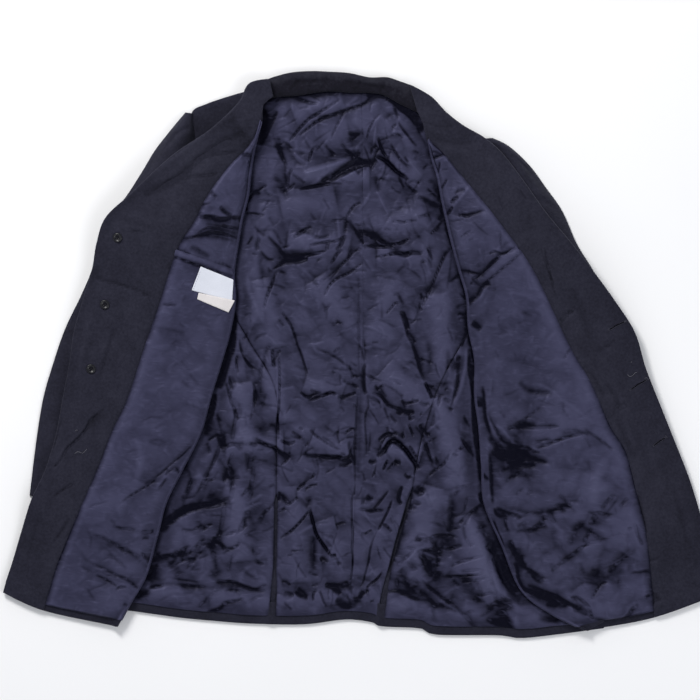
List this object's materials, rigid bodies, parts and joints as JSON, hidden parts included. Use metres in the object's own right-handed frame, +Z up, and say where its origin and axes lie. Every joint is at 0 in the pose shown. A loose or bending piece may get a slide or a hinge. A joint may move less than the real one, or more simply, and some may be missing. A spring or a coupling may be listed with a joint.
{
  "type": "firefighter dress jacket",
  "caption": "Wool dress jacket lying open on its back, fronts turned out over the sleeves to show the satin lining, facings and inside pockets.",
  "frame": {"origin": "centre of the jacket's box, on the surface that it lies on", "axes": "+X across the jacket to the wearer's left front, +Y from the hem to the collar, +Z up from the surface"},
  "size_m": [1.044, 0.8224, 0.0394],
  "materials": {
    "wool": "dark navy wool twill, matt",
    "lining": "navy violet satin lining with a soft sheen",
    "label_satin": "white woven satin, bare",
    "label_cloth": "cream cotton tape, bare",
    "button": "black gloss plastic"
  },
  "bodies": {
    "root": {"back_left": "wool", "back_right": "wool", "side_left": "wool", "side_right": "wool", "front_left": "wool", "front_right": "wool", "facing_left": "wool", "facing_right": "wool", "lapel_left": "wool", "lapel_right": "wool", "upper_sleeve_left": "wool", "upper_sleeve_right": "wool", "under_sleeve_left": "wool", "under_sleeve_right": "wool", "collar": "wool", "back_lining_left": "lining", "back_lining_right": "lining", "side_lining_left": "lining", "side_lining_right": "lining", "front_lining_left": "lining", "front_lining_right": "lining", "pocket_left": "lining", "pocket_right": "lining", "label_white": "label_satin", "label_cream": "label_cloth", "backing_button_1": "button", "backing_button_2": "button", "backing_button_3": "button", "front_button_1": "button", "front_button_2": "button", "front_button_3": "button", "front_button_4": "button"}
  },
  "joints": []
}
